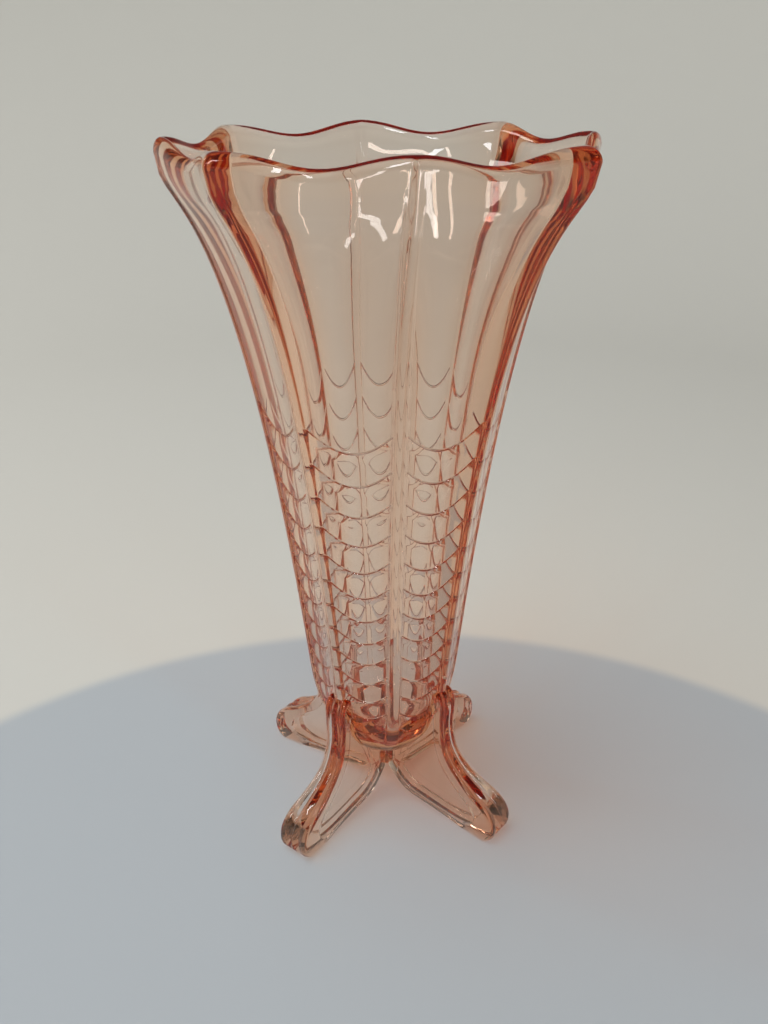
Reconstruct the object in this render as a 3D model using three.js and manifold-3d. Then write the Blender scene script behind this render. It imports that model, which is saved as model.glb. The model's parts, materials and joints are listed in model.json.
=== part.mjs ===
// Footed pressed-glass vase: an eight-sided trumpet that stands on four fin feet.
// Millimetres, +Z up. The origin is on the trumpet's axis, on the surface the feet stand on.
// One ridge of the trumpet points along -Y, and the feet lie under the ridges at 45 degrees to it.

import * as THREE from 'three';
import { mergeVertices } from 'three/addons/utils/BufferGeometryUtils.js';
import Module from 'manifold-3d';

const wasm = await Module();
wasm.setup();

// ---- driving dimensions -------------------------------------------------------------

const HEIGHT = 200; // surface to the tips of the rim
const RIDGES = 8; // ridges round the trumpet
const FEET = 4;
const JOINT_GAP = 0.3; // clearance between the trumpet and each foot

// The trumpet's outside, measured along a ridge
const BOWL_BOTTOM = 16; // lowest point of the solid bowl
const BOWL_TOP = 48; // where the bowl turns into the trumpet
const BOWL_RADIUS = 22.9;
const MOUTH_RADIUS = 56;
const RIM_ROUND = 3.4; // height of the rounded lip
const RIM_DIP = 3.1; // drop of the rim halfway between two ridges
const DIP_DEPTH = 18; // how far below the rim the drop fades out
const CORNER_PULL = 4.2; // extra reach at the mouth of the four ridges over the feet
const PULL_START = 105; // height where those ridges start to reach out

// Handles of the outside's two curves, as [radius, height]
const BOWL_LOW_HANDLE = [13, BOWL_BOTTOM];
const BOWL_HIGH_HANDLE = [20.9, 29];
const TRUMPET_LOW_HANDLE = [38.7, 196.7];
const TRUMPET_HIGH_HANDLE = [53.9, 178];

// The inside is round, and turns eight-sided only at the mouth
const WALL = 3.5; // glass at the middle of a side
const FLOOR = 31; // lowest point of the inside
const FLOOR_CORNER = 52; // where the rounded floor meets the inner wall
const MOUTH_OCTAGON = 0.07; // how eight-sided the inner edge of the mouth is
const OCTAGON_START = 144; // height where the inside starts to turn eight-sided

// The boss under the bowl, where the feet meet
const BOSS_RADIUS = 4.6;
const BOSS_BOTTOM = 10;

// Feet
const FOOT_WIDTH = 7;
const TOE_WIDTH = 8.8;
const TOE_SPREAD = 26; // radius where a foot starts to widen into its toe
const TOE_RADIUS = 44; // axis to the tip of a toe
const FOOT_TOP = 47; // where a foot leaves its ridge
const SOLE_INNER = 33; // the flat sole runs from here
const SOLE_OUTER = 41; // to here

// Side view of a foot, as [radius, height]: each curve is two handles and its end
const KNEE_START = [BOWL_RADIUS - 3, FOOT_TOP];
const KNEE_CURVE = [[BOWL_RADIUS, FOOT_TOP], [23.9, 45], [23.8, 40]];
const SHIN_CURVE = [[23.5, 24], [28, 17.5], [38, 12.4]];
const TOE_TOP_CURVE = [[42, 10.5], [TOE_RADIUS, 8.5], [TOE_RADIUS, 5]];
const TOE_TIP_CURVE = [[TOE_RADIUS, 2], [43, 0.8], [SOLE_OUTER, 0]];
const ARCH_TURN = [13, 2.4];

// Steps of the faceted surfaces
const TURN_STEPS = RIDGES * 6;
const BOWL_STEPS = 6;
const WALL_STEPS = 11;
const FLOOR_STEPS = 5;
const LIP_STEPS = 4;
const PLUG_STEPS = 3; // steps of the trumpet above the bowl that reach past the feet
const FOOT_CURVE_STEPS = 6;
const WELD = 1e-4; // vertices closer than this are one

const glass = () => new THREE.MeshStandardMaterial({
  color: new THREE.Color(0.85, 0.5, 0.4),
  roughness: 0.05,
  metalness: 0,
  transparent: true,
  opacity: 0.4,
});

// ---- the trumpet's shape ------------------------------------------------------------

const HALF_SIDE = Math.PI / RIDGES; // angle from a ridge to the middle of a side
const FLAT = Math.cos(HALF_SIDE); // radius at the middle of a flat side over a ridge's

const smoothStep = (from, to, value) => THREE.MathUtils.smoothstep(value, from, to);

// Angle to the nearest ridge
function offRidge(angle) {
  const turn = angle / (2 * HALF_SIDE);
  return Math.abs(turn - Math.round(turn)) * 2 * HALF_SIDE;
}

// Radius of a flat-sided octagon over its ridge radius
const octagon = (angle) => FLAT / Math.cos(HALF_SIDE - offRidge(angle));

// 1 on a ridge, 0 at the middle of a side
const ridgeness = (angle) => (octagon(angle) - FLAT) / (1 - FLAT);

// 1 on a ridge over a foot, 0 on the ridges between, smooth from side to side
const overFoot = (angle) => 0.5 - 0.5 * Math.cos(FEET * angle);

// Outline along a ridge, from the bowl's lowest point to just under the lip
function ridgeOutline() {
  const bowl = new THREE.CubicBezierCurve(
    new THREE.Vector2(0, BOWL_BOTTOM),
    new THREE.Vector2(...BOWL_LOW_HANDLE),
    new THREE.Vector2(...BOWL_HIGH_HANDLE),
    new THREE.Vector2(BOWL_RADIUS, BOWL_TOP),
  );
  const trumpet = new THREE.CubicBezierCurve(
    new THREE.Vector2(BOWL_RADIUS, BOWL_TOP),
    new THREE.Vector2(...TRUMPET_LOW_HANDLE),
    new THREE.Vector2(...TRUMPET_HIGH_HANDLE),
    new THREE.Vector2(MOUTH_RADIUS, HEIGHT - RIM_ROUND),
  );
  return { bowl, trumpet };
}

// Closed half-section: boss, bowl, outer wall and lip, then inner wall and floor
function trumpetSection() {
  const { bowl, trumpet } = ridgeOutline();
  const points = [new THREE.Vector2(0, BOSS_BOTTOM), new THREE.Vector2(BOSS_RADIUS, BOSS_BOTTOM)];
  const bowlPoints = bowl.getPoints(BOWL_STEPS).filter((p) => p.x > BOSS_RADIUS);
  points.push(new THREE.Vector2(BOSS_RADIUS, bowlPoints[0].y), ...bowlPoints);
  points.push(...trumpet.getPoints(WALL_STEPS).slice(1));
  const lipHalf = WALL / FLAT / 2;
  for (let i = 1; i < LIP_STEPS; i += 1) {
    const turn = (Math.PI * i) / LIP_STEPS;
    const x = MOUTH_RADIUS - lipHalf * (1 - Math.cos(turn));
    points.push(new THREE.Vector2(x, HEIGHT - RIM_ROUND * (1 - Math.sin(turn))));
  }
  const outerCount = points.length - 1;
  const inner = trumpet.getPoints(WALL_STEPS).reverse();
  for (const p of inner.filter((q) => q.y > FLOOR_CORNER)) {
    points.push(new THREE.Vector2(p.x - WALL / FLAT, p.y));
  }
  const side = BOWL_RADIUS - WALL / FLAT;
  for (let i = 0; i <= FLOOR_STEPS; i += 1) {
    const turn = (Math.PI / 2) * (i / FLOOR_STEPS);
    const y = FLOOR_CORNER - (FLOOR_CORNER - FLOOR) * Math.sin(turn);
    points.push(new THREE.Vector2(i === FLOOR_STEPS ? 0 : side * Math.cos(turn), y));
  }
  return { points, outerCount };
}

// Outside of the bowl and trumpet as a solid plug, pushed out by a margin
function plugSection(margin) {
  const { bowl, trumpet } = ridgeOutline();
  const points = [new THREE.Vector2(0, BOWL_BOTTOM - margin)];
  for (const p of bowl.getPoints(BOWL_STEPS).slice(1)) {
    points.push(new THREE.Vector2(p.x + margin / FLAT, p.y - margin * (1 - p.x / BOWL_RADIUS)));
  }
  for (const p of trumpet.getPoints(WALL_STEPS).slice(1, PLUG_STEPS + 1)) {
    points.push(new THREE.Vector2(p.x + margin / FLAT, p.y));
  }
  points.push(new THREE.Vector2(0, points.at(-1).y));
  return { points, outerCount: points.length };
}

// Radius over the outside's radius along a plain ridge
function outsideFactor(angle, z) {
  const squared = smoothStep(BOWL_BOTTOM, BOWL_TOP, z);
  const reach = Math.max(0, (z - PULL_START) / (HEIGHT - PULL_START)) ** 2;
  const pull = (CORNER_PULL / MOUTH_RADIUS) * reach * overFoot(angle) * ridgeness(angle);
  return 1 - squared * (1 - octagon(angle)) + pull;
}

// The same for the inside, which only turns eight-sided towards the mouth
function insideFactor(angle, z) {
  return FLAT * (1 + MOUTH_OCTAGON * smoothStep(OCTAGON_START, HEIGHT, z) * ridgeness(angle));
}

// Turns a half-section round the axis, then moves each vertex to its eight-sided place
function latheSolid({ points, outerCount }) {
  const geometry = new THREE.LatheGeometry(points, TURN_STEPS);
  geometry.rotateX(Math.PI / 2);
  const position = geometry.attributes.position;
  for (let i = 0; i < position.count; i += 1) {
    const x = position.getX(i);
    const y = position.getY(i);
    const z = position.getZ(i);
    const angle = Math.atan2(x, -y);
    const outside = i % points.length < outerCount;
    const factor = outside ? outsideFactor(angle, z) : insideFactor(angle, z);
    const drop = RIM_DIP * smoothStep(HEIGHT - DIP_DEPTH, HEIGHT, z) * (1 - ridgeness(angle));
    position.setXYZ(i, x * factor, y * factor, z - drop);
  }
  return welded(geometry);
}

// ---- solids ---------------------------------------------------------------------------

// One vertex for each place, no empty triangles
function welded(geometry) {
  geometry.deleteAttribute('normal');
  geometry.deleteAttribute('uv');
  const merged = mergeVertices(geometry, WELD);
  const kept = [];
  const corners = merged.index.array;
  for (let i = 0; i < corners.length; i += 3) {
    const [a, b, c] = corners.slice(i, i + 3);
    if (a !== b && b !== c && c !== a) kept.push(a, b, c);
  }
  merged.setIndex(kept);
  return merged;
}

function toManifold(geometry) {
  return new wasm.Manifold(new wasm.Mesh({
    numProp: 3,
    vertProperties: new Float32Array(geometry.attributes.position.array),
    triVerts: new Uint32Array(geometry.index.array),
  }));
}

function fromManifold(solid) {
  const mesh = solid.getMesh();
  const geometry = new THREE.BufferGeometry();
  geometry.setAttribute('position', new THREE.BufferAttribute(mesh.vertProperties, 3));
  geometry.setIndex(new THREE.BufferAttribute(mesh.triVerts, 1));
  return geometry;
}

// ---- feet -----------------------------------------------------------------------------

// Side view of a foot: x runs out from the axis, y runs up
function footOutline() {
  const inner = BOSS_RADIUS + JOINT_GAP;
  const outline = new THREE.Shape();
  outline.moveTo(inner, BOSS_BOTTOM);
  outline.lineTo(inner, FOOT_TOP);
  outline.lineTo(...KNEE_START);
  for (const curve of [KNEE_CURVE, SHIN_CURVE, TOE_TOP_CURVE, TOE_TIP_CURVE]) {
    outline.bezierCurveTo(...curve.flat());
  }
  outline.lineTo(SOLE_INNER, 0);
  outline.lineTo(...ARCH_TURN);
  outline.closePath();
  return outline;
}

function footBlank() {
  const geometry = new THREE.ExtrudeGeometry(footOutline(), {
    depth: FOOT_WIDTH,
    bevelEnabled: false,
    curveSegments: FOOT_CURVE_STEPS,
  });
  geometry.translate(0, 0, -FOOT_WIDTH / 2);
  geometry.rotateX(Math.PI / 2);
  const position = geometry.attributes.position;
  for (let i = 0; i < position.count; i += 1) {
    const spread = smoothStep(TOE_SPREAD, SOLE_OUTER, position.getX(i));
    position.setY(i, position.getY(i) * (1 + spread * (TOE_WIDTH / FOOT_WIDTH - 1)));
  }
  return welded(geometry);
}

function foot(name, azimuth) {
  const geometry = footBlank();
  geometry.rotateZ(azimuth);
  const cut = toManifold(geometry).subtract(bowlRoom);
  const mesh = new THREE.Mesh(fromManifold(cut), glass());
  mesh.name = name;
  return mesh;
}

// ---- assembly -------------------------------------------------------------------------

const bowlRoom = toManifold(latheSolid(plugSection(JOINT_GAP)));

const vase = new THREE.Group();
vase.name = 'footed_vase';

const body = new THREE.Mesh(latheSolid(trumpetSection()), glass());
body.name = 'vase_body';
vase.add(body);

const quarter = Math.PI / 4;
const footPlaces = {
  foot_front_left: -3 * quarter,
  foot_front_right: -quarter,
  foot_back_right: quarter,
  foot_back_left: 3 * quarter,
};
for (const [name, azimuth] of Object.entries(footPlaces)) vase.add(foot(name, azimuth));

export default vase;
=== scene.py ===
import json
import math

import bmesh
import bpy
from bpy.props import FloatProperty, FloatVectorProperty, IntProperty, PointerProperty
from mathutils import Matrix, Vector
from mathutils.geometry import interpolate_bezier

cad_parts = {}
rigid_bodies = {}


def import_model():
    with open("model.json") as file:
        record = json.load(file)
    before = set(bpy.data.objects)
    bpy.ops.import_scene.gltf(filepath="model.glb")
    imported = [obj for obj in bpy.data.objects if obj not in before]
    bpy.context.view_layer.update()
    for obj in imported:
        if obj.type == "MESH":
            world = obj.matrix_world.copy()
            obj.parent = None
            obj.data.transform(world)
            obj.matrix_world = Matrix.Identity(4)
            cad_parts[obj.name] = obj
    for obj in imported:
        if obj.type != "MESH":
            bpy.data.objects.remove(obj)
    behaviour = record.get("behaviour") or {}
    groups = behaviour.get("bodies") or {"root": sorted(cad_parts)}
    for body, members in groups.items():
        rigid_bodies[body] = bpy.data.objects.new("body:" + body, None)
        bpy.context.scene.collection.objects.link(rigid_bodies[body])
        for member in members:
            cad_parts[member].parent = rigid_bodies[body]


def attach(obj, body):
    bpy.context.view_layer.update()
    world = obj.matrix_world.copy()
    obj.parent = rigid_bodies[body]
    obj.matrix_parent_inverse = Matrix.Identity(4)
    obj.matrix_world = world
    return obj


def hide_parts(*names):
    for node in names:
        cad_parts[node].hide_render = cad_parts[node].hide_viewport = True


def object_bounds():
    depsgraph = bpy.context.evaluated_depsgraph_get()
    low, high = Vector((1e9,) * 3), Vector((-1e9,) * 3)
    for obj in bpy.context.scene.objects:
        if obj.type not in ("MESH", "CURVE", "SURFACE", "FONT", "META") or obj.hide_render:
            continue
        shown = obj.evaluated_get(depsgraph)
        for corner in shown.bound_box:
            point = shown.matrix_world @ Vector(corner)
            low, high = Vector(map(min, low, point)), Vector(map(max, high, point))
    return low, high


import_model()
CAD_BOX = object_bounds()

bl_info = {
    "name": "Footed Glass Vase",
    "version": (1, 0, 0),
    "blender": (4, 5, 0),
    "location": "View3D > Sidebar > Vase",
    "description": "Builds an eight-sided pressed-glass trumpet vase on four fin feet",
    "category": "Add Mesh",
}

MM = 0.001
RIDGES = 8
HALF_SIDE = math.pi / RIDGES  # angle from a ridge to the middle of a side
FLAT = math.cos(HALF_SIDE)  # radius at the middle of a flat side over a ridge's
FOOT_NODES = {  # node, and the turn about Z that takes a foot along +X to its place
    "foot_front_left": math.radians(-135),
    "foot_front_right": math.radians(-45),
    "foot_back_right": math.radians(45),
    "foot_back_left": math.radians(135),
}


# ---- sizes and colours that a user may change ------------------------------------------


def length(name, description, default):
    return FloatProperty(name=name, description=description, default=default,
                         unit="LENGTH", precision=5)


class VASE_PG_trumpet(bpy.types.PropertyGroup):
    height: length("Height", "From the surface to the tips of the rim", CAD_BOX[1].z)
    mouth_radius: length("Mouth radius", "Axis to the plain ridges at the mouth", CAD_BOX[1].x)
    bowl_radius: length("Bowl radius", "Axis to a ridge where the bowl turns into the trumpet", 22.9 * MM)
    wall: length("Wall", "Glass at the middle of a side", 3.5 * MM)
    floor: length("Inner floor", "Height of the lowest point of the inside", 24 * MM)
    corner_pull: length("Corner pull", "Extra reach at the mouth of the ridges over the feet", 4.2 * MM)
    rim_dip: length("Rim dip", "Drop of the rim halfway between two ridges", 3.1 * MM)
    rib_width: length("Rib width", "Width of the raised band along each ridge", 4 * MM)
    rib_height: length("Rib height", "How far a band stands proud of the sides", 0.4 * MM)
    drapes: IntProperty(name="Drapes", description="Rows of draped steps", default=13, min=1, max=20)
    drape_top: length("Top drape", "Height of the lowest point of the top step", 127.6 * MM)
    drape_pitch: length("Drape pitch", "Distance from the top step to the next", 9.7 * MM)
    drape_shrink: FloatProperty(name="Drape shrink", description="Each pitch over the one above",
                                default=0.963, subtype="FACTOR", min=0.8, max=1)
    drape_sag: FloatProperty(name="Drape sag", description="Sag of a step over its width",
                             default=0.28, subtype="FACTOR", min=0, max=0.5)
    drape_step: length("Drape step", "Depth of a step", 0.22 * MM)


class VASE_PG_feet(bpy.types.PropertyGroup):
    width: length("Width", "Width of a foot", 7.4 * MM)
    toe_width: length("Toe width", "Width of a foot at its toe", 10.4 * MM)
    edge_round: length("Edge rounding", "Radius of the long edges", 1.1 * MM)
    groove: length("Groove", "Depth of the two grooves along the top", 0.75 * MM)
    panel_depth: length("Panel depth", "How far a side panel is sunk", 0.55 * MM)


class VASE_PG_glass(bpy.types.PropertyGroup):
    tint: FloatVectorProperty(name="Tint", description="Colour of thick glass", subtype="COLOR",
                              size=3, min=0, max=1, default=(0.917, 0.483, 0.133))
    depth: FloatProperty(name="Depth", description="How fast the tint builds up, per metre of glass",
                         default=70, min=0)
    index: FloatProperty(name="Refractive index", description="Bending of light in the glass",
                         default=1.52, min=1, max=2)


class VASE_PG_stage(bpy.types.PropertyGroup):
    table: FloatVectorProperty(name="Floor", description="Colour of the pale floor", subtype="COLOR",
                               size=3, min=0, max=1, default=(0.42, 0.455, 0.48))
    wall: FloatVectorProperty(name="Backdrop", description="Colour of the backdrop", subtype="COLOR",
                              size=3, min=0, max=1, default=(0.60, 0.595, 0.55))
    floor_middle: FloatVectorProperty(name="Floor middle", description="Middle of the pale round floor",
                                      subtype="TRANSLATION", size=2, default=(-0.01, -0.11))
    floor_radius: length("Floor radius", "Radius of the pale round floor", 200 * MM)
    distance: length("Camera distance", "From the axis to the camera, over the floor", 260.6 * MM)
    eye: length("Camera height", "Height of the camera over the floor", 219.2 * MM)
    bearing: FloatProperty(name="Camera bearing",
                           description="Turn of the camera round the vase from the front",
                           default=math.radians(6.9), subtype="ANGLE")
    pitch: FloatProperty(name="Camera pitch", description="How far the camera looks down",
                         default=math.radians(25.07), subtype="ANGLE")
    roll: FloatProperty(name="Camera roll", description="Tilt of the camera about its own line of sight",
                        default=math.radians(-0.2), subtype="ANGLE")
    lens: FloatProperty(name="Lens", description="Focal length in millimetres", default=34.9)


# ---- shared shape helpers ---------------------------------------------------------------


def smoothstep(low, high, value):
    t = min(max((value - low) / (high - low), 0), 1)
    return t * t * (3 - 2 * t)


def mix(a, b, share):
    return a + (b - a) * share


def curve_points(start, handle_1, handle_2, end, count):
    """Points of one cubic curve, as (radius, height), in metres."""
    corners = [Vector((x * MM, y * MM, 0)) for x, y in (start, handle_1, handle_2, end)]
    return [p.xy for p in interpolate_bezier(*corners, count)]


def off_ridge(angle):
    """Signed angle from the nearest ridge."""
    turn = angle / (2 * HALF_SIDE)
    return (turn - round(turn)) * 2 * HALF_SIDE


def ridgeness(angle):
    """0 at the middle of a flat side and 1 on a ridge, along the octagon's outline."""
    octagon = FLAT / math.cos(HALF_SIDE - abs(off_ridge(angle)))
    return (octagon - FLAT) / (1 - FLAT)


def make_object(bm, name):
    """A new object at the origin that holds a bmesh."""
    mesh = bpy.data.meshes.new(name)
    bm.to_mesh(mesh)
    bm.free()
    piece = bpy.data.objects.new(name, mesh)
    bpy.context.scene.collection.objects.link(piece)
    return piece


# ---- trumpet ----------------------------------------------------------------------------


class Trumpet:
    """The outer and inner surfaces of the trumpet."""

    BOWL_BOTTOM = 16  # in millimetres, as the curves are
    BOWL_TOP = 48
    LIP = 3.2 * MM  # height of the rounded lip
    DIP_DEPTH = 18 * MM  # how far below the rim its waves fade out
    PULL_START = 105 * MM  # the corners begin to pull out here
    MOUTH_OCTAGON = 0.07  # how eight-sided the inside is at the mouth
    OCTAGON_START = 144 * MM  # below this the inside is round
    FLOOR_CORNER = 42 * MM  # the inside turns from wall to floor here
    BOSS_RADIUS = 5.3 * MM
    BOSS_BOTTOM = 10 * MM
    BOSS_ROUND = MM
    BOSS_PART = 0.6  # where the boss has a row of vertices, across its underside and up its side
    BOSS_REACH = 1.01  # up to this share of its radius the boss stays round
    RIDGE_ROUND = 5 * MM  # radius along each ridge
    RIB_END = 7 * MM  # bands stop this far below the rim
    RIB_SLOPE = (0.3 * MM, 0.25 * MM)  # inner and outer half of a band's sloping edge
    RIB_RISE = (24 * MM, 34 * MM)  # the bands rise out of the bowl between these heights
    STEP_HEIGHT = 0.9 * MM  # each step and the groove at its foot take this height
    LEDGE = 0.6  # share of that height that the step falls over
    SCORE = 0.3 * MM  # depth of the groove at the foot of a step
    TILE_BEND = 1.3  # how a tile swells again below its step
    LAST_TILE = 6.5 * MM  # height of the tile below the last step
    SAG_START = (18 * MM, 34 * MM)  # the rows begin to sag between these heights
    SAG_END = (4 * MM, 55 * MM)  # and stop sagging this far above the top row
    LEAST_SPAN = 0.1  # a row never narrows below this share of a side
    LEAST_RADIUS = 13 * MM  # inside this radius the columns stay as they are
    SWEEP = 2.45 * MM  # the finest columns lie within this distance of a ridge
    CROWDING = 1.6  # how much the columns crowd towards the edges of a band
    LAST_ROW = MM  # the bowl's rows of vertices give way to the tiles' this far below the lowest step
    ROW_START = 0.8 * MM  # the tiles' rows start this far below that
    BOWL_END = 1.2 * MM  # and the bowl's end this far below it
    ABOVE_STEP = 0.12 * MM  # a tile's rows start this far above the step at its foot
    BOSS_ROWS = 4
    FILL_ROWS = 3  # rows of vertices on a tile
    STEP_ROWS = 8  # rows on a step and its groove
    PLAIN_ROWS = 26  # rows above the steps
    LIP_ROWS = 18
    INNER_ROWS = 34
    FLOOR_ROWS = 12

    def __init__(self, sizes):
        self.s = sizes
        top = (sizes.mouth_radius / MM, (sizes.height - self.LIP) / MM)
        waist = (sizes.bowl_radius / MM, self.BOWL_TOP)
        middle = (0, self.BOWL_BOTTOM)
        self.bowl = curve_points(middle, (13, self.BOWL_BOTTOM), (20.9, 29), waist, 200)
        self.cone = curve_points(waist, (38.7, 196.7), (53.9, 178), top, 600)
        self.lines = self.drape_lines()

    def radius(self, z):
        """Radius of the outside along a plain ridge."""
        points = self.bowl if z < self.bowl[-1].y else self.cone
        low, high = 0, len(points) - 1
        while high - low > 1:
            middle = (low + high) // 2
            low, high = (middle, high) if points[middle].y <= z else (low, middle)
        a, b = points[low], points[high]
        share = min(max((z - a.y) / (b.y - a.y), 0), 1) if b.y > a.y else 0
        return mix(a.x, b.x, share)

    def drape_lines(self):
        """Heights of the steps at the middle of a side, from the top one down."""
        lines, pitch = [self.s.drape_top], self.s.drape_pitch
        for _ in range(self.s.drapes - 1):
            lines.append(lines[-1] - pitch)
            pitch *= self.s.drape_shrink
        return lines

    def ridge_radius(self, z, angle):
        """Radius that a side's plane would have where it meets the ridge."""
        reach = max(0, (z - self.PULL_START) / (self.s.height - self.PULL_START)) ** 2
        share = self.s.corner_pull / self.s.mouth_radius * reach
        over_foot = 0.5 - 0.5 * math.cos(len(FOOT_NODES) * angle)
        return self.radius(z) * (1 + share * over_foot * ridgeness(angle))

    def column_angle(self, angle, z):
        """Angle of a column of vertices, drawn in towards the edges of the bands."""
        off = off_ridge(angle)
        share = abs(off) / HALF_SIDE
        near = self.SWEEP / max(self.radius(z), self.LEAST_RADIUS)
        if share < 0.5:
            warped = near * (1 - (1 - 2 * share) ** self.CROWDING)
        else:
            warped = mix(near, HALF_SIDE, 2 * share - 1)
        return angle - off + math.copysign(warped, off)

    def drape(self, z, off):
        """How far a row of steps lies above its lowest point."""
        radius = self.radius(z)
        edge = math.tan(HALF_SIDE) - self.s.rib_width / 2 / (radius * FLAT + MM)
        span = max(edge, self.LEAST_SPAN)
        across = min(math.tan(HALF_SIDE - abs(off)) / span, 1)
        width = 2 * radius * FLAT * span
        low, high = (self.lines[0] + above for above in self.SAG_END)
        fade = smoothstep(*self.SAG_START, z) * (1 - smoothstep(low, high, z))
        return self.s.drape_sag * width * across * across * fade

    def step(self, z):
        """How far the drapes set the surface back at a height measured at the middle of a side."""
        if z > self.lines[0]:
            return 0
        below = [line for line in self.lines if line >= z]
        line = below[-1]
        is_last = len(below) == len(self.lines)
        following = line - self.LAST_TILE if is_last else self.lines[len(below)]
        along = min((line - z) / (line - following), 1)
        down = (line - z) / self.STEP_HEIGHT
        fall = smoothstep(0, self.LEDGE, down)
        ledge = self.s.drape_step * fall * (1 - along) ** self.TILE_BEND
        return ledge + self.SCORE * fall * (1 - smoothstep(self.LEDGE, 1, down))

    def outside(self, angle, z, flat_z):
        """Radius of the outside: flat sides, rounded ridges, bands and draped steps."""
        off = off_ridge(angle)
        corner = self.ridge_radius(z, angle)
        squared = smoothstep(self.BOWL_BOTTOM * MM, self.BOWL_TOP * MM, z)
        side = corner * mix(1, FLAT / math.cos(HALF_SIDE - abs(off)), squared)
        lateral = side * math.sin(abs(off))
        tangent = self.RIDGE_ROUND * math.tan(HALF_SIDE / 2)
        if lateral < tangent:
            lowest = corner - lateral * math.tan(HALF_SIDE) * squared
            sunk = (tangent - lateral) ** 2 / (2 * tangent) * math.tan(HALF_SIDE) * squared
            side = (lowest - sunk) / math.cos(off)
        end = self.s.height - self.LIP - self.RIB_END
        beyond = math.hypot(max(z - end, 0), lateral)
        half = self.s.rib_width / 2
        band = 1 - smoothstep(half - self.RIB_SLOPE[0], half + self.RIB_SLOPE[1], beyond)
        return side + mix(-self.step(flat_z), self.s.rib_height, band * smoothstep(*self.RIB_RISE, z))

    def inside(self, angle, z):
        """Radius of the inside over the blank's: round below, slightly eight-sided at the mouth."""
        turning = smoothstep(self.OCTAGON_START, self.s.height, z)
        return FLAT * (1 + self.MOUTH_OCTAGON * turning * ridgeness(angle))

    def rim_drop(self, angle, z):
        """How far the waved rim lies below its tips."""
        wave = 0.5 - 0.5 * math.cos(RIDGES * angle)
        return self.s.rim_dip * smoothstep(self.s.height - self.DIP_DEPTH, self.s.height, z) * wave

    def boss_rows(self):
        """The underside of the small boss in the middle, up to the bowl."""
        rows = [(0, self.BOSS_BOTTOM), (self.BOSS_RADIUS * self.BOSS_PART, self.BOSS_BOTTOM)]
        for i in range(self.BOSS_ROWS + 1):
            turn = math.pi / 2 * i / self.BOSS_ROWS
            radius = self.BOSS_RADIUS - self.BOSS_ROUND * (1 - math.sin(turn))
            rows.append((radius, self.BOSS_BOTTOM + self.BOSS_ROUND * (1 - math.cos(turn))))
        return rows

    def row_heights(self, first, top):
        """Heights of the rows of vertices: close together on the steps, wider between them."""
        heights = []
        previous = first - self.ROW_START
        for line in reversed(self.lines):
            gap = line - self.STEP_HEIGHT - previous
            heights += [previous + gap * k / self.FILL_ROWS for k in range(self.FILL_ROWS)]
            heights += [line - self.STEP_HEIGHT * (1 - k / self.STEP_ROWS)
                        for k in range(self.STEP_ROWS + 1)]
            previous = line + self.ABOVE_STEP
        return heights + [mix(previous, top, i / self.PLAIN_ROWS) for i in range(self.PLAIN_ROWS + 1)]

    def section(self):
        """Half-section of the blank, as (radius, height, how far outside)."""
        s, top = self.s, self.s.height - self.LIP
        rows = self.boss_rows()
        boss_top = next(p for p in self.bowl if p.x > self.BOSS_RADIUS)
        rows.append((self.BOSS_RADIUS, mix(self.BOSS_BOTTOM, boss_top.y, self.BOSS_PART)))
        first = self.lines[-1] - self.LAST_ROW
        rows += [(p.x, p.y) for p in self.bowl[::8] if p.x >= boss_top.x and p.y < first - self.BOWL_END]
        rows += [(self.radius(z), z) for z in self.row_heights(first, top)]
        section = [(r, z, 1.0) for r, z in rows]
        wall = s.wall / FLAT
        for i in range(1, self.LIP_ROWS):
            turn = math.pi * i / self.LIP_ROWS
            share = 0.5 + 0.5 * math.cos(turn)
            section.append((self.radius(top) - wall * (1 - share), top + self.LIP * math.sin(turn), share))
        for i in range(self.INNER_ROWS + 1):
            z = mix(top, self.FLOOR_CORNER, i / self.INNER_ROWS)
            section.append((self.radius(z) - wall, z, 0.0))
        for i in range(1, self.FLOOR_ROWS + 1):
            turn = math.pi / 2 * i / self.FLOOR_ROWS
            z = self.FLOOR_CORNER - (self.FLOOR_CORNER - s.floor) * math.sin(turn)
            r = (self.radius(self.FLOOR_CORNER) - wall) * math.cos(turn)
            section.append((r if i < self.FLOOR_ROWS else 0, z, 0.0))
        return section

    def place(self, co, share):
        """Where a vertex of the round blank goes."""
        angle = math.atan2(co.x, -co.y)
        base = math.hypot(co.x, co.y)
        top = self.s.height - self.LIP
        flat_z = min(co.z, top)
        if share > 0 and base > self.BOSS_RADIUS * self.BOSS_REACH:
            angle = self.column_angle(angle, flat_z)
            z = flat_z + self.drape(flat_z, off_ridge(angle))
            z = min(z, top) if flat_z < top else top
            outer = self.outside(angle, z, flat_z)
        else:
            z, outer = flat_z, base
        if share == 0:
            angle = self.column_angle(angle, max(flat_z, self.FLOOR_CORNER)) if base > 0 else angle
            radius = base * self.inside(angle, flat_z)
        elif share == 1:
            radius = outer
        else:
            inner = (self.radius(top) - self.s.wall / FLAT) * self.inside(angle, top)
            radius = mix(inner, outer, share)
        z += co.z - flat_z
        z -= self.rim_drop(angle, z)
        return Vector((radius * math.sin(angle), -radius * math.cos(angle), z))


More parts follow.
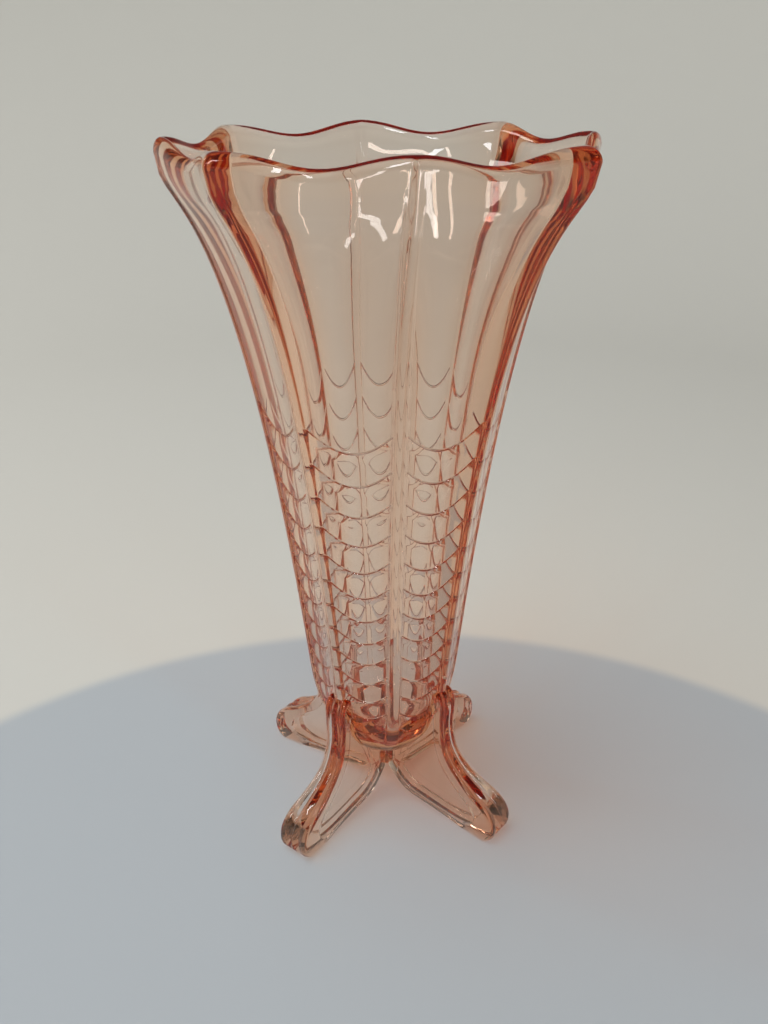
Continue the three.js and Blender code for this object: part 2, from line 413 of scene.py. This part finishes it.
def trumpet_blank(trumpet, columns):
    """The trumpet spun round its axis, then pressed to its eight-sided shape."""
    bm = bmesh.new()
    outsideness = bm.verts.layers.float.new("outside")
    section = []
    for r, z, share in trumpet.section():
        vertex = bm.verts.new((0, -r, z))
        vertex[outsideness] = share
        section.append(vertex)
    edges = [bm.edges.new(pair) for pair in zip(section, section[1:])]
    bmesh.ops.spin(bm, geom=section + edges, cent=(0, 0, 0), axis=(0, 0, 1), angle=2 * math.pi,
                   steps=columns, use_merge=True)
    bmesh.ops.remove_doubles(bm, verts=bm.verts[:], dist=0.001 * MM)
    for vertex in bm.verts:
        vertex.co = trumpet.place(vertex.co, round(vertex[outsideness], 4))
    bmesh.ops.recalc_face_normals(bm, faces=bm.faces[:])
    bm.verts.layers.float.remove(outsideness)
    return bm


# ---- feet -------------------------------------------------------------------------------


class Foot:
    """One fin foot, built along +X."""

    ACROSS = 22  # steps across the width
    TOE_SPREAD = 26 * MM  # the foot begins to widen here
    SOLE_OUTER = 41 * MM  # and is at its widest here
    SHIN_START = 4 * MM  # the grooves begin above this height
    SHIN_FADE = 6 * MM  # and reach their depth over this height
    SHIN_FRONT = (22.6 * MM, 23.4 * MM)
    TOE_FRONT = (38 * MM, 43 * MM)
    TOE_HEIGHT = (1.5 * MM, 4 * MM)
    DEEPER = (28 * MM, 40 * MM)  # the grooves deepen between these distances from the axis
    TOE_GROOVE = 1.8  # depth of a groove at the toe over its depth on the shin
    GROOVED = 0.67  # share of the width that has grooves
    GROOVE_WAVES = 3 * 1.02  # half-waves of groove and rib from the middle to a side
    CLOSEST = 0.2 * MM  # least distance between two points of the outline
    CUTS = range(4, 44, 2)  # where the flat sides are cut across, in millimetres
    MANY = 8  # only the flat sides have faces with more corners than this

    def __init__(self, sizes):
        self.s = sizes

    def outline(self):
        """Side view: up inside the bowl, over the knee, shin and toe, and back under the foot."""
        hidden = ((3.8, 10), (3.8, 20), (14, 28), (19, 38), (19.6, 42))
        points = [Vector((x * MM, z * MM)) for x, z in hidden]
        curves = [
            ((20.2, 44.6), (23.4, 45.6), (25.2, 42.5), (24.6, 37.5), 9),
            ((24.6, 37.5), (23.4, 24), (27.4, 20), (36.6, 14.6), 22),
            ((36.6, 14.6), (41.6, 12.4), (44.9, 9.8), (44.9, 5.6), 10),
            ((44.9, 5.6), (44.9, 2.2), (43.4, 0.8), (41, 0), 7),
            ((33, 0), (29, 0), (19, 2.0), (13.6, 2.7), 8),
            ((13.6, 2.7), (9, 3.6), (7, 6.2), (3.8, 10), 8),
        ]
        for start, handle_1, handle_2, end, count in curves:
            for p in curve_points(start, handle_1, handle_2, end, count):
                if (p - points[-1]).length > self.CLOSEST:
                    points.append(p)
        if (points[-1] - points[0]).length < 0.3 * MM:
            points.pop()
        return points

    def cut_in(self, share, point):
        """How far in from the outline the surface lies, at a place across the width (-1 to 1)."""
        half = self.s.width / 2
        edge = self.s.edge_round
        from_side = half * (1 - abs(share))
        rounding = edge - math.sqrt(max(edge ** 2 - (edge - min(from_side, edge)) ** 2, 0))
        on_shin = smoothstep(0, self.SHIN_FADE, point.y - self.SHIN_START)
        on_shin *= smoothstep(*self.SHIN_FRONT, point.x)
        on_toe = smoothstep(*self.TOE_FRONT, point.x) * smoothstep(*self.TOE_HEIGHT, point.y)
        if abs(share) >= self.GROOVED:
            return rounding
        ribs = 0.5 + 0.5 * math.cos(self.GROOVE_WAVES * math.pi * share)
        deep = self.s.groove * mix(1, self.TOE_GROOVE, smoothstep(*self.DEEPER, point.x))
        return rounding + (1 - ribs) * deep * max(on_shin, on_toe)

    def blank(self):
        """The foot as one closed solid that reaches into the bowl."""
        outline = self.outline()
        count = len(outline)
        outwards = -1 if self.turned(outline) else 1
        normals = []
        for i in range(count):
            along = outline[(i + 1) % count] - outline[i - 1]
            normals.append(Vector((along.y, -along.x)).normalized() * outwards)
        bm = bmesh.new()
        index = bm.verts.layers.int.new("row")
        across = bm.verts.layers.float.new("across")
        loop = [bm.verts.new((p.x, 0, p.y)) for p in outline]
        edges = [bm.edges.new((loop[i], loop[(i + 1) % count])) for i in range(count)]
        for i, vertex in enumerate(loop):
            vertex[index] = i
            vertex[across] = -1
        ring = edges
        for step in range(1, self.ACROSS + 1):
            made = bmesh.ops.extrude_edge_only(bm, edges=ring)["geom"]
            ring = [e for e in made if isinstance(e, bmesh.types.BMEdge)]
            share = -math.cos(math.pi * step / self.ACROSS)
            for vertex in {v for e in ring for v in e.verts}:
                vertex[across] = share
        for border in (edges, ring):
            bmesh.ops.contextual_create(bm, geom=border)
        for vertex in bm.verts:
            i, share = vertex[index], vertex[across]
            p = outline[i] + normals[i] * self.cut_in(share, outline[i])
            half = self.s.width / 2
            spread = smoothstep(self.TOE_SPREAD, self.SOLE_OUTER, p.x)
            vertex.co = (p.x, share * half * mix(1, self.s.toe_width / self.s.width, spread), p.y)
        bmesh.ops.recalc_face_normals(bm, faces=bm.faces[:])
        for x in self.CUTS:
            flat = [f for f in bm.faces if len(f.verts) > self.MANY]
            around = {e for f in flat for e in f.edges} | {v for f in flat for v in f.verts}
            bmesh.ops.bisect_plane(bm, geom=flat + list(around), plane_co=(x * MM, 0, 0),
                                   plane_no=(1, 0, 0))
        return bm

    def stamp(self, side):
        """The block that sinks the panel in one side of the foot."""
        points = [Vector((x * MM, z * MM)) for x, z in ((8, 11), (12, 21), (18.6, 34))]
        curves = [
            ((19.4, 37), (21, 40), (21.6, 37.5), (21.5, 34), 6),
            ((21.5, 34), (21.2, 24), (24.6, 17.5), (32.5, 12.6), 16),
            ((32.5, 12.6), (37.2, 10), (38.2, 8), (37.6, 5.4), 8),
            ((37.6, 5.4), (37, 2.6), (34, 2.4), (31, 2.5), 7),
            ((31, 2.5), (24, 3.0), (18, 4.1), (14, 4.9), 7),
            ((14, 4.9), (11, 5.7), (9, 7.4), (7.6, 9.2), 5),
        ]
        for start, handle_1, handle_2, end, count in curves:
            points += [p for p in curve_points(start, handle_1, handle_2, end, count)
                       if (p - points[-1]).length > 0.1 * MM]
        bm = bmesh.new()
        depth = side * (self.s.width / 2 - self.s.panel_depth)
        loop = [bm.verts.new((p.x, depth, p.y)) for p in points]
        floor = bm.faces.new(loop)
        bmesh.ops.extrude_face_region(bm, geom=[floor])
        for vertex in loop:
            vertex.co.y = side * self.s.toe_width
        bmesh.ops.recalc_face_normals(bm, faces=bm.faces[:])
        return bm

    @staticmethod
    def turned(outline):
        """Whether the outline runs anticlockwise."""
        area = sum(a.x * b.y - b.x * a.y for a, b in zip(outline, outline[1:] + outline[:1]))
        return area > 0


# ---- glass ------------------------------------------------------------------------------

JOIN = "join"  # 1 on faces where a foot and the trumpet are one piece of glass
SEAM_GAP = 0.02 * MM  # between a foot and the trumpet
SAME_POINT = 0.006 * MM
SEAM_REACHES = (0.02 * MM, 0.06 * MM, 0.15 * MM)  # how far corners move to close the seam
SHARP = math.radians(50)  # a steeper edge is shaded as an edge
SHADOW_TINT = (0.97, 0.95, 0.94, 1)  # what one surface lets through in a shadow


def with_modifiers(piece):
    """The piece's mesh with its modifiers applied, as a bmesh, and its materials' names."""
    graph = bpy.context.evaluated_depsgraph_get()
    evaluated = piece.evaluated_get(graph)
    mesh = bpy.data.meshes.new_from_object(evaluated, depsgraph=graph)
    bm = bmesh.new()
    bm.from_mesh(mesh)
    origins = [m.name if m else "" for m in mesh.materials]
    bpy.data.meshes.remove(mesh)
    return bm, origins


def corner_order(part):
    """Sorts faces or edges the same way on every run, which a boolean doesn't."""
    return sorted(v.index for v in part.verts)


def cut_by(piece, cutters):
    """A bmesh of piece with the cutters taken out of it, and the faces that the cutters left."""
    for cutter in cutters:
        modifier = piece.modifiers.new(cutter.name, "BOOLEAN")
        modifier.operation = "DIFFERENCE"
        modifier.solver = "MANIFOLD"
        modifier.material_mode = "TRANSFER"
        modifier.object = cutter
    bm, origins = with_modifiers(piece)
    piece.modifiers.clear()
    if JOIN not in bm.faces.layers.float:
        bm.faces.layers.float.new(JOIN)
    own = piece.data.materials[0].name
    left = [f for f in bm.faces if origins[f.material_index] != own]
    bm.verts.index_update()
    return bm, sorted(left, key=corner_order)


def open_edges(bm):
    """Edges with a face on one side only."""
    bm.verts.index_update()
    return sorted((e for e in bm.edges if e.is_boundary), key=corner_order)


def close_seam(bm):
    """Closes the hair-fine gaps where the feet's outlines and the trumpet's own faces meet."""
    for reach in SEAM_REACHES:
        corners = [v for v in bm.verts if v.is_boundary]
        bmesh.ops.remove_doubles(bm, verts=corners, dist=reach)
        bmesh.ops.holes_fill(bm, edges=open_edges(bm), sides=0)
    left = open_edges(bm)
    if left:
        bmesh.ops.edgeloop_fill(bm, edges=left)


def finish_mesh(piece, bm, join_faces, glass):
    """Puts a bmesh in the piece, marks its join faces and shades it."""
    layer = bm.faces.layers.float[JOIN]
    for face in bm.faces:
        face[layer] = 0
        face.smooth = True
        face.material_index = 0
    for face in join_faces:
        face[layer] = 1
        face.smooth = False
    for edge in bm.edges:
        angle = edge.calc_face_angle(0) if len(edge.link_faces) == 2 else 0
        edge.smooth = angle < SHARP and len({f[layer] for f in edge.link_faces}) == 1
    bm.to_mesh(piece.data)
    bm.free()
    piece.data.materials.clear()
    piece.data.materials.append(glass)


def pink_glass(colours):
    """Clear glass whose pink deepens with its thickness."""
    material = bpy.data.materials.new("pink_glass")
    material.use_nodes = True
    nodes, links = material.node_tree.nodes, material.node_tree.links
    nodes.clear()
    glass = nodes.new("ShaderNodeBsdfPrincipled")
    glass.inputs["Base Color"].default_value = (1, 1, 1, 1)
    glass.inputs["Roughness"].default_value = 0
    glass.inputs["Transmission Weight"].default_value = 1
    joined = nodes.new("ShaderNodeAttribute")
    joined.attribute_name = JOIN
    index = nodes.new("ShaderNodeMapRange")
    index.inputs["To Min"].default_value = colours.index
    index.inputs["To Max"].default_value = 1
    links.new(joined.outputs["Fac"], index.inputs["Value"])
    links.new(index.outputs["Result"], glass.inputs["IOR"])
    rays = nodes.new("ShaderNodeLightPath")
    clear = nodes.new("ShaderNodeBsdfTransparent")
    clear.inputs["Color"].default_value = SHADOW_TINT
    surface = nodes.new("ShaderNodeMixShader")
    links.new(rays.outputs["Is Shadow Ray"], surface.inputs["Fac"])
    links.new(glass.outputs["BSDF"], surface.inputs[1])
    links.new(clear.outputs["BSDF"], surface.inputs[2])
    absorption = nodes.new("ShaderNodeVolumeAbsorption")
    absorption.inputs["Color"].default_value = (*colours.tint, 1)
    absorption.inputs["Density"].default_value = colours.depth
    output = nodes.new("ShaderNodeOutputMaterial")
    links.new(surface.outputs["Shader"], output.inputs["Surface"])
    links.new(absorption.outputs["Volume"], output.inputs["Volume"])
    return material


def declare(piece, *nodes):
    """Says what the piece stands for and what it moves with."""
    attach(piece, "root")
    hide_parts(*nodes)


# ---- operators --------------------------------------------------------------------------


class VASE_OT_trumpet(bpy.types.Operator):
    """Presses the trumpet: bowl, eight sides, bands, draped steps and waved rim"""

    bl_idname = "vase.trumpet"
    bl_label = "Trumpet"

    def execute(self, context):
        blank = trumpet_blank(Trumpet(context.scene.vase_trumpet), columns=256)
        piece = make_object(blank, "trumpet")
        piece.data.materials.append(bpy.data.materials.new("from_trumpet"))
        return {"FINISHED"}


class VASE_OT_feet(bpy.types.Operator):
    """Presses the four fin feet, each as a solid that reaches into the bowl"""

    bl_idname = "vase.feet"
    bl_label = "Feet"

    def execute(self, context):
        origin = bpy.data.materials.new("from_foot")
        foot = Foot(context.scene.vase_feet)
        plate = make_object(foot.blank(), "plate")
        plate.data.materials.append(origin)
        stamps = [make_object(foot.stamp(side), "stamp") for side in (-1, 1)]
        pressed, _ = cut_by(plate, stamps)
        for node, turn in FOOT_NODES.items():
            blank = pressed.copy()
            bmesh.ops.rotate(blank, verts=blank.verts, cent=(0, 0, 0), matrix=Matrix.Rotation(turn, 3, "Z"))
            piece = make_object(blank, node.replace("foot", "fin_foot"))
            piece.data.materials.append(origin)
        for spare in (plate, *stamps):
            bpy.data.objects.remove(spare)
        return {"FINISHED"}


class VASE_OT_join(bpy.types.Operator):
    """Fits the feet to the trumpet face to face, so that light passes between them as in one pressing"""

    bl_idname = "vase.join"
    bl_label = "Fit the feet"

    def execute(self, context):
        glass = pink_glass(context.scene.vase_glass)
        trumpet = bpy.data.objects["trumpet"]
        feet = {node: bpy.data.objects[node.replace("foot", "fin_foot")] for node in FOOT_NODES}
        body, covered = cut_by(trumpet, feet.values())
        bmesh.ops.delete(body, geom=covered, context="FACES")
        cut_feet = {node: cut_by(foot, [trumpet]) for node, foot in feet.items()}
        open_faces = len(body.faces)
        for bm, contact in cut_feet.values():
            touching = {v for face in contact for v in face.verts}
            twins = {v: body.verts.new(v.co) for v in bm.verts if v in touching}
            for face in contact:
                body.faces.new([twins[v] for v in reversed(face.verts)])
        body.faces.ensure_lookup_table()
        patches = body.faces[open_faces:]
        bmesh.ops.remove_doubles(body, verts=body.verts[:], dist=SAME_POINT)
        close_seam(body)
        patches = [f for f in patches if f.is_valid]
        finish_mesh(trumpet, body, patches, glass)
        declare(trumpet, "vase_body")
        for node, (bm, contact) in cut_feet.items():
            shifts = {}
            for face in contact:
                for vertex in face.verts:
                    shifts[vertex] = shifts.get(vertex, Vector()) - face.normal
            for vertex, shift in shifts.items():
                vertex.co += shift.normalized() * SEAM_GAP
            finish_mesh(feet[node], bm, contact, glass)
            declare(feet[node], node)
        return {"FINISHED"}


class VASE_OT_stage(bpy.types.Operator):
    """Sets the pale floor, the backdrop, the soft lights and the camera"""

    bl_idname = "vase.stage"
    bl_label = "Stage"

    def execute(self, context):
        build_sweep(context.scene.vase_stage)
        build_lights(context.scene)
        build_camera(context.scene, context.scene.vase_stage)
        follow_light(context.scene, bounces=32)
        return {"FINISHED"}


EDGE_BLUR = 4 * MM  # half the width of the pale floor's soft edge
PAINTED_SHADE_HEIGHTS = (270 * MM, 500 * MM)  # painted shade: the backdrop is painted darker between these heights, standing in for the dim room above it
# near-black colour of the painted shade at the top of the backdrop
PAINTED_SHADE_TOP = (0.08, 0.07, 0.06, 1)
COLOUR_A, COLOUR_B, COLOUR_OUT = 6, 7, 2  # colour sockets of a Mix node


def blend_colours(nodes, links, factor):
    """A Mix node for two colours."""
    blend = nodes.new("ShaderNodeMix")
    blend.data_type = "RGBA"
    links.new(factor, blend.inputs["Factor"])
    return blend


def soft_ramp(nodes, links, value, low, high):
    """0 below low, 1 above high, with a soft change between them."""
    ramp = nodes.new("ShaderNodeMapRange")
    ramp.interpolation_type = "SMOOTHSTEP"
    ramp.inputs["From Min"].default_value = low
    ramp.inputs["From Max"].default_value = high
    links.new(value, ramp.inputs["Value"])
    return ramp.outputs["Result"]


def sweep_material(colours):
    """Pale round floor under the vase, which turns into the backdrop's warm grey; towards its top the
    backdrop is painted near-black as painted shade.
    """
    material = bpy.data.materials.new("sweep")
    material.use_nodes = True
    nodes, links = material.node_tree.nodes, material.node_tree.links
    shader = nodes["Principled BSDF"]
    shader.inputs["Roughness"].default_value = 0.6
    place = nodes.new("ShaderNodeTexCoord")
    from_middle = nodes.new("ShaderNodeVectorMath")
    from_middle.operation = "DISTANCE"
    from_middle.inputs[1].default_value = (*colours.floor_middle, 0)
    links.new(place.outputs["Object"], from_middle.inputs[0])
    radius = colours.floor_radius
    beyond = soft_ramp(nodes, links, from_middle.outputs["Value"], radius - EDGE_BLUR, radius + EDGE_BLUR)
    ground = blend_colours(nodes, links, beyond)
    ground.inputs[COLOUR_A].default_value = (*colours.table, 1)
    ground.inputs[COLOUR_B].default_value = (*colours.wall, 1)
    height = nodes.new("ShaderNodeSeparateXYZ")
    links.new(place.outputs["Object"], height.inputs["Vector"])
    # painted shade: the backdrop turns near-black towards its top, standing in for the dim room
    painted_shade_blend = blend_colours(nodes, links, soft_ramp(nodes, links, height.outputs["Z"], *PAINTED_SHADE_HEIGHTS))
    painted_shade_blend.inputs[COLOUR_B].default_value = PAINTED_SHADE_TOP
    links.new(ground.outputs[COLOUR_OUT], painted_shade_blend.inputs[COLOUR_A])
    links.new(painted_shade_blend.outputs[COLOUR_OUT], shader.inputs["Base Color"])
    return material


def area_light(name, place, aim, size, power, colour):
    """A rectangular light at a place, turned towards a point."""
    light = bpy.data.lights.new(name, "AREA")
    light.shape = "RECTANGLE"
    light.size, light.size_y = size
    light.energy = power
    light.color = colour
    lamp = bpy.data.objects.new(name, light)
    lamp.location = place
    lamp.rotation_euler = (Vector(aim) - Vector(place)).to_track_quat("-Z", "Y").to_euler()
    bpy.context.scene.collection.objects.link(lamp)
    return lamp


def build_sweep(colours):
    """Round floor that curves up into a low backdrop on all sides."""
    flat, bend, wall = 550 * MM, 350 * MM, 250 * MM
    bend_steps = 12
    bm = bmesh.new()
    profile = [bm.verts.new((0, 0, 0)), bm.verts.new((0, flat, 0))]
    for i in range(1, bend_steps + 1):
        turn = math.pi / 2 * i / bend_steps
        profile.append(bm.verts.new((0, flat + bend * math.sin(turn), bend * (1 - math.cos(turn)))))
    profile.append(bm.verts.new((0, flat + bend, bend + wall)))
    edges = [bm.edges.new(pair) for pair in zip(profile, profile[1:])]
    bmesh.ops.spin(bm, geom=profile + edges, cent=(0, 0, 0), axis=(0, 0, 1), angle=2 * math.pi,
                   steps=64, use_merge=True)
    bmesh.ops.remove_doubles(bm, verts=bm.verts[:], dist=0.1 * MM)
    bmesh.ops.recalc_face_normals(bm, faces=bm.faces[:])
    for face in bm.faces:
        face.smooth = True
    sweep = make_object(bm, "sweep")
    sweep.data.materials.append(sweep_material(colours))


def build_lights(scene):
    """A wide soft light that glass doesn't mirror, and narrow panes that it does."""
    soft_box = area_light("soft_box", (-0.5, -0.1, 1.4), (0, 0, 0), (1.1, 1.1), 17, (1, 0.99, 0.985))
    soft_box.visible_glossy = False
    soft_box.visible_transmission = False
    daylight = (0.9, 0.95, 1)
    for x in (-0.7, -0.38, 0.5):
        area_light("window_pane", (x, -0.8, 0.85), (0, 0, 0.12), (0.05, 0.7), 1.5, daylight)
    area_light("back_pane", (-0.75, 0.45, 0.8), (0, 0, 0.1), (0.12, 0.5), 1.2, (1, 0.98, 0.95))
    world = bpy.data.worlds.new("soft_world")
    world.use_nodes = True
    background = world.node_tree.nodes["Background"]
    background.inputs["Color"].default_value = (1, 1, 1, 1)
    background.inputs["Strength"].default_value = 0.12
    scene.world = world


def build_camera(scene, s):
    camera = bpy.data.objects.new("camera", bpy.data.cameras.new("camera"))
    scene.collection.objects.link(camera)
    camera.location = (-s.distance * math.sin(s.bearing), -s.distance * math.cos(s.bearing), s.eye)
    turn = Matrix.Rotation(-s.bearing, 3, "Z") @ Matrix.Rotation(math.pi / 2 - s.pitch, 3, "X")
    camera.rotation_euler = (turn @ Matrix.Rotation(s.roll, 3, "Z")).to_euler()
    camera.data.lens = s.lens
    camera.data.sensor_width = 36
    camera.data.sensor_fit = "AUTO"
    camera.data.clip_start = 10 * MM
    scene.camera = camera


def follow_light(scene, bounces):
    """Lets light pass through and mirror inside the glass often enough, with plain colours."""
    scene.view_settings.view_transform = "Standard"
    scene.cycles.max_bounces = bounces
    scene.cycles.transmission_bounces = bounces
    scene.cycles.glossy_bounces = bounces
    scene.cycles.transparent_max_bounces = bounces


class VASE_PT_panel(bpy.types.Panel):
    """Lists the vase's sizes, colours and steps"""

    bl_idname = "VASE_PT_panel"
    bl_label = "Footed Glass Vase"
    bl_space_type = "VIEW_3D"
    bl_region_type = "UI"
    bl_category = "Vase"

    def draw(self, context):
        for group, operators in PANEL_ORDER.items():
            box = self.layout.box()
            settings = getattr(context.scene, group)
            for name in settings.bl_rna.properties.keys():
                if name not in ("rna_type", "name"):
                    box.prop(settings, name)
            for operator in operators:
                box.operator(operator)


PANEL_ORDER = {
    "vase_trumpet": ["vase.trumpet"],
    "vase_feet": ["vase.feet"],
    "vase_glass": ["vase.join"],
    "vase_stage": ["vase.stage"],
}
GROUPS = {
    "vase_trumpet": VASE_PG_trumpet,
    "vase_feet": VASE_PG_feet,
    "vase_glass": VASE_PG_glass,
    "vase_stage": VASE_PG_stage,
}
CLASSES = (*GROUPS.values(), VASE_OT_trumpet, VASE_OT_feet, VASE_OT_join, VASE_OT_stage, VASE_PT_panel)


def register():
    for item in CLASSES:
        bpy.utils.register_class(item)
    for name, group in GROUPS.items():
        setattr(bpy.types.Scene, name, PointerProperty(type=group))


def unregister():
    for name in GROUPS:
        delattr(bpy.types.Scene, name)
    for item in reversed(CLASSES):
        bpy.utils.unregister_class(item)


def main():
    register()
    bpy.ops.vase.trumpet()
    bpy.ops.vase.feet()
    bpy.ops.vase.join()
    bpy.ops.vase.stage()


if __name__ == "__main__":
    main()
